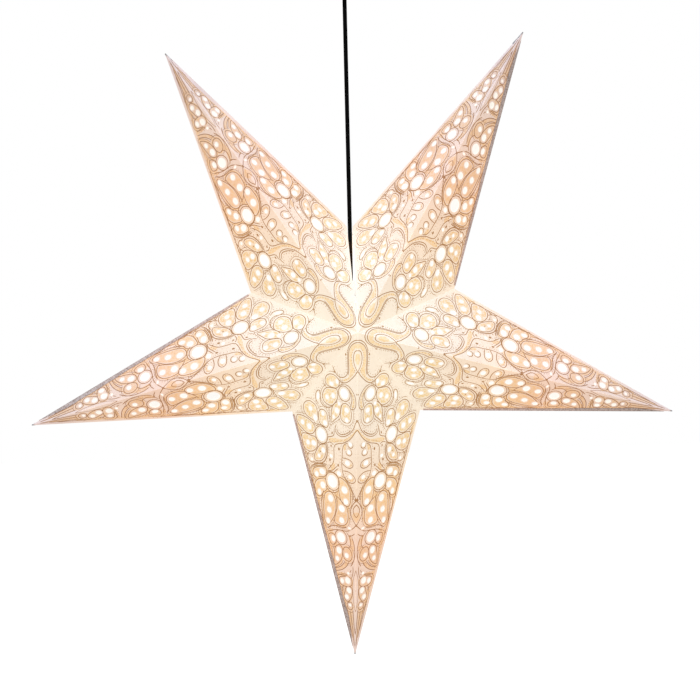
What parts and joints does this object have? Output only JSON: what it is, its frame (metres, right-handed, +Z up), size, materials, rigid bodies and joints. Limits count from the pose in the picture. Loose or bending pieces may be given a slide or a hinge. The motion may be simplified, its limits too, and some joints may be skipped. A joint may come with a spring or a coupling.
{
  "type": "paper star lantern",
  "caption": "Folded paper star lantern with die-cut printed panels, a lampholder and bulb inside, hanging on a straight cord from a ceiling fitting.",
  "frame": {"origin": "on the ceiling, midway between the bracket's two screw holes, on the cord's axis", "axes": "+Z up along the cord, -Y out of the star's front, +X to the right as seen from the front"},
  "size_m": [0.6054, 0.1648, 0.695],
  "materials": {
    "printed_paper": "white paper printed with ochre shapes and brown outlines, die-cut and lit from inside",
    "tip_paper": "layers of glued paper, matt",
    "cotton": "twisted cotton string",
    "black_cord": "matt black flex",
    "steel": "zinc plated",
    "white_plastic": "moulded, satin",
    "clear_plastic": "milky polyamide",
    "canopy_plastic": "moulded, half gloss",
    "holder_plastic": "thermoset, half gloss",
    "ceramic": "unglazed steatite",
    "brass": "bright",
    "bulb_glass": "clear lamp glass",
    "bulb_metal": "nickel plated",
    "dark_glass": "black insulating glass",
    "stem_glass": "clear glass stem",
    "filament": "warm phosphor coat, lit"
  },
  "bodies": {
    "ceiling": {"ceiling_bracket": "steel", "cord_clamp": "white_plastic", "clamp_screws": "steel", "terminal_block": "clear_plastic", "cord": "black_cord"},
    "canopy": {"canopy": "canopy_plastic"},
    "grub_screw": {"grub_screw": "steel"},
    "holder": {"cord_grip": "white_plastic", "holder_cap": "holder_plastic", "holder_sleeve": "holder_plastic", "holder_insert": "ceramic", "terminal_screws": "brass", "socket_shell": "brass", "centre_contact": "brass"},
    "shade_ring": {"shade_ring": "holder_plastic"},
    "bulb": {"bulb_glass": "bulb_glass", "bulb_cap": "bulb_metal", "bulb_insulator": "dark_glass", "bulb_contact": "bulb_metal", "bulb_stem": "stem_glass", "bulb_filaments": "filament"},
    "star": {"bottom_tip": "tip_paper"},
    "right_point": {"right_tip": "tip_paper"},
    "top_right_point": {"top_right_tip": "tip_paper"},
    "left_point": {"left_tip": "tip_paper"},
    "top_left_point": {"top_left_tip": "tip_paper"},
    "bottom_front_cw": {"bottom_front_cw": "printed_paper"},
    "bottom_front_ccw": {"bottom_front_ccw": "printed_paper"},
    "bottom_back_cw": {"bottom_back_cw": "printed_paper"},
    "bottom_back_ccw": {"bottom_back_ccw": "printed_paper"},
    "right_front_cw": {"right_front_cw": "printed_paper"},
    "right_front_ccw": {"right_front_ccw": "printed_paper"},
    "right_back_cw": {"right_back_cw": "printed_paper"},
    "right_back_ccw": {"right_back_ccw": "printed_paper"},
    "top_right_front_cw": {"top_right_front_cw": "printed_paper"},
    "top_right_front_ccw": {"top_right_front_ccw": "printed_paper", "top_right_tie": "cotton"},
    "top_right_back_cw": {"top_right_back_cw": "printed_paper"},
    "top_right_back_ccw": {"top_right_back_ccw": "printed_paper"},
    "left_front_cw": {"left_front_cw": "printed_paper"},
    "left_front_ccw": {"left_front_ccw": "printed_paper"},
    "left_back_cw": {"left_back_cw": "printed_paper"},
    "left_back_ccw": {"left_back_ccw": "printed_paper"},
    "top_left_front_cw": {"top_left_front_cw": "printed_paper", "top_left_tie": "cotton"},
    "top_left_front_ccw": {"top_left_front_ccw": "printed_paper"},
    "top_left_back_cw": {"top_left_back_cw": "printed_paper"},
    "top_left_back_ccw": {"top_left_back_ccw": "printed_paper"}
  },
  "joints": [
    {"name": "canopy_slide", "type": "slide", "parent": "ceiling", "child": "canopy", "axis": [0, 0, -1], "range_m": [0, 0.12]},
    {"name": "grub_screw_turn", "type": "hinge", "parent": "canopy", "child": "grub_screw", "pos_m": [0.005, 0, -0.0495], "axis": [1, 0, 0], "continuous": true},
    {"name": "lantern_turn", "type": "hinge", "parent": "ceiling", "child": "holder", "pos_m": [0, 0, -0.345], "axis": [0, 0, 1], "range_deg": [-180, 180]},
    {"name": "shade_ring_turn", "type": "hinge", "parent": "holder", "child": "shade_ring", "pos_m": [0, 0, -0.3935], "axis": [0, 0, -1], "continuous": true},
    {"name": "bulb_turn", "type": "hinge", "parent": "holder", "child": "bulb", "pos_m": [0, 0, -0.395], "axis": [0, 0, -1], "continuous": true},
    {"name": "star_turn", "type": "hinge", "parent": "holder", "child": "star", "pos_m": [0, 0, -0.38], "axis": [0, 0, 1], "range_deg": [-180, 180]},
    {"name": "fan_fold", "type": "hinge", "parent": "star", "child": "right_point", "pos_m": [0, 0, -0.38], "axis": [0, 1, 0], "range_deg": [0, 15.4]},
    {"name": "top_right_fold", "type": "hinge", "parent": "star", "child": "top_right_point", "pos_m": [0, 0, -0.38], "axis": [0, 1, 0], "range_deg": [0, 30.8]},
    {"name": "left_fold", "type": "hinge", "parent": "star", "child": "left_point", "pos_m": [0, 0, -0.38], "axis": [0, -1, 0], "range_deg": [0, 15.4]},
    {"name": "top_left_fold", "type": "hinge", "parent": "star", "child": "top_left_point", "pos_m": [0, 0, -0.38], "axis": [0, -1, 0], "range_deg": [0, 30.8]},
    {"name": "bottom_front_cw_crease", "type": "hinge", "parent": "star", "child": "bottom_front_cw", "pos_m": [0, 0, -0.695], "axis": [0.212, 0.2711, -0.9389], "range_deg": [0, 16]},
    {"name": "bottom_front_ccw_crease", "type": "hinge", "parent": "star", "child": "bottom_front_ccw", "pos_m": [0, 0, -0.695], "axis": [0.212, -0.2711, 0.9389], "range_deg": [0, 16]},
    {"name": "bottom_back_cw_crease", "type": "hinge", "parent": "star", "child": "bottom_back_cw", "pos_m": [0, 0, -0.695], "axis": [-0.212, 0.2711, 0.9389], "range_deg": [0, 16]},
    {"name": "bottom_back_ccw_crease", "type": "hinge", "parent": "star", "child": "bottom_back_ccw", "pos_m": [0, 0, -0.695], "axis": [-0.212, -0.2711, -0.9389], "range_deg": [0, 16]},
    {"name": "right_front_cw_crease", "type": "hinge", "parent": "right_point", "child": "right_front_cw", "pos_m": [0.30257, 0, -0.46762], "axis": [0.9608, 0.2711, -0.0575], "range_deg": [0, 16]},
    {"name": "right_front_ccw_crease", "type": "hinge", "parent": "right_point", "child": "right_front_ccw", "pos_m": [0.30257, 0, -0.46762], "axis": [-0.8429, -0.2711, 0.4648], "range_deg": [0, 16]},
    {"name": "right_back_cw_crease", "type": "hinge", "parent": "right_point", "child": "right_back_cw", "pos_m": [0.30257, 0, -0.46762], "axis": [-0.9608, 0.2711, 0.0575], "range_deg": [0, 16]},
    {"name": "right_back_ccw_crease", "type": "hinge", "parent": "right_point", "child": "right_back_ccw", "pos_m": [0.30257, 0, -0.46762], "axis": [0.8429, -0.2711, -0.4648], "range_deg": [0, 16]},
    {"name": "top_right_front_cw_crease", "type": "hinge", "parent": "top_right_point", "child": "top_right_front_cw", "pos_m": [0.16832, 0, -0.11374], "axis": [0.3225, 0.2711, 0.9069], "range_deg": [0, 16]},
    {"name": "top_right_front_ccw_crease", "type": "hinge", "parent": "top_right_point", "child": "top_right_front_ccw", "pos_m": [0.16832, 0, -0.11374], "axis": [-0.6809, -0.2711, -0.6803], "range_deg": [0, 16]},
    {"name": "top_right_back_cw_crease", "type": "hinge", "parent": "top_right_point", "child": "top_right_back_cw", "pos_m": [0.16832, 0, -0.11374], "axis": [-0.3225, 0.2711, -0.9069], "range_deg": [0, 16]},
    {"name": "top_right_back_ccw_crease", "type": "hinge", "parent": "top_right_point", "child": "top_right_back_ccw", "pos_m": [0.16832, 0, -0.11374], "axis": [0.6809, -0.2711, 0.6803], "range_deg": [0, 16]},
    {"name": "left_front_cw_crease", "type": "hinge", "parent": "left_point", "child": "left_front_cw", "pos_m": [-0.30257, 0, -0.46762], "axis": [-0.8429, 0.2711, -0.4648], "range_deg": [0, 16]},
    {"name": "left_front_ccw_crease", "type": "hinge", "parent": "left_point", "child": "left_front_ccw", "pos_m": [-0.30257, 0, -0.46762], "axis": [0.9608, -0.2711, 0.0575], "range_deg": [0, 16]},
    {"name": "left_back_cw_crease", "type": "hinge", "parent": "left_point", "child": "left_back_cw", "pos_m": [-0.30257, 0, -0.46762], "axis": [0.8429, 0.2711, 0.4648], "range_deg": [0, 16]},
    {"name": "left_back_ccw_crease", "type": "hinge", "parent": "left_point", "child": "left_back_ccw", "pos_m": [-0.30257, 0, -0.46762], "axis": [-0.9608, -0.2711, -0.0575], "range_deg": [0, 16]},
    {"name": "top_left_front_cw_crease", "type": "hinge", "parent": "top_left_point", "child": "top_left_front_cw", "pos_m": [-0.16832, 0, -0.11374], "axis": [-0.6809, 0.2711, 0.6803], "range_deg": [0, 16]},
    {"name": "top_left_front_ccw_crease", "type": "hinge", "parent": "top_left_point", "child": "top_left_front_ccw", "pos_m": [-0.16832, 0, -0.11374], "axis": [0.3225, -0.2711, -0.9069], "range_deg": [0, 16]},
    {"name": "top_left_back_cw_crease", "type": "hinge", "parent": "top_left_point", "child": "top_left_back_cw", "pos_m": [-0.16832, 0, -0.11374], "axis": [0.6809, 0.2711, -0.6803], "range_deg": [0, 16]},
    {"name": "top_left_back_ccw_crease", "type": "hinge", "parent": "top_left_point", "child": "top_left_back_ccw", "pos_m": [-0.16832, 0, -0.11374], "axis": [-0.3225, -0.2711, 0.9069], "range_deg": [0, 16]}
  ],
  "couplings": [
    {"joint": "top_right_fold", "follows": "fan_fold", "ratio": 2},
    {"joint": "left_fold", "follows": "fan_fold", "ratio": 1},
    {"joint": "top_left_fold", "follows": "fan_fold", "ratio": 2},
    {"joint": "bottom_front_cw_crease", "follows": "fan_fold", "ratio": 1.0388},
    {"joint": "bottom_front_ccw_crease", "follows": "fan_fold", "ratio": 1.0388},
    {"joint": "bottom_back_cw_crease", "follows": "fan_fold", "ratio": 1.0388},
    {"joint": "bottom_back_ccw_crease", "follows": "fan_fold", "ratio": 1.0388},
    {"joint": "right_front_cw_crease", "follows": "fan_fold", "ratio": 1.0388},
    {"joint": "right_front_ccw_crease", "follows": "fan_fold", "ratio": 1.0388},
    {"joint": "right_back_cw_crease", "follows": "fan_fold", "ratio": 1.0388},
    {"joint": "right_back_ccw_crease", "follows": "fan_fold", "ratio": 1.0388},
    {"joint": "top_right_front_cw_crease", "follows": "fan_fold", "ratio": 1.0388},
    {"joint": "top_right_front_ccw_crease", "follows": "fan_fold", "ratio": 1.0388},
    {"joint": "top_right_back_cw_crease", "follows": "fan_fold", "ratio": 1.0388},
    {"joint": "top_right_back_ccw_crease", "follows": "fan_fold", "ratio": 1.0388},
    {"joint": "left_front_cw_crease", "follows": "fan_fold", "ratio": 1.0388},
    {"joint": "left_front_ccw_crease", "follows": "fan_fold", "ratio": 1.0388},
    {"joint": "left_back_cw_crease", "follows": "fan_fold", "ratio": 1.0388},
    {"joint": "left_back_ccw_crease", "follows": "fan_fold", "ratio": 1.0388},
    {"joint": "top_left_front_cw_crease", "follows": "fan_fold", "ratio": 1.0388},
    {"joint": "top_left_front_ccw_crease", "follows": "fan_fold", "ratio": 1.0388},
    {"joint": "top_left_back_cw_crease", "follows": "fan_fold", "ratio": 1.0388},
    {"joint": "top_left_back_ccw_crease", "follows": "fan_fold", "ratio": 1.0388}
  ]
}
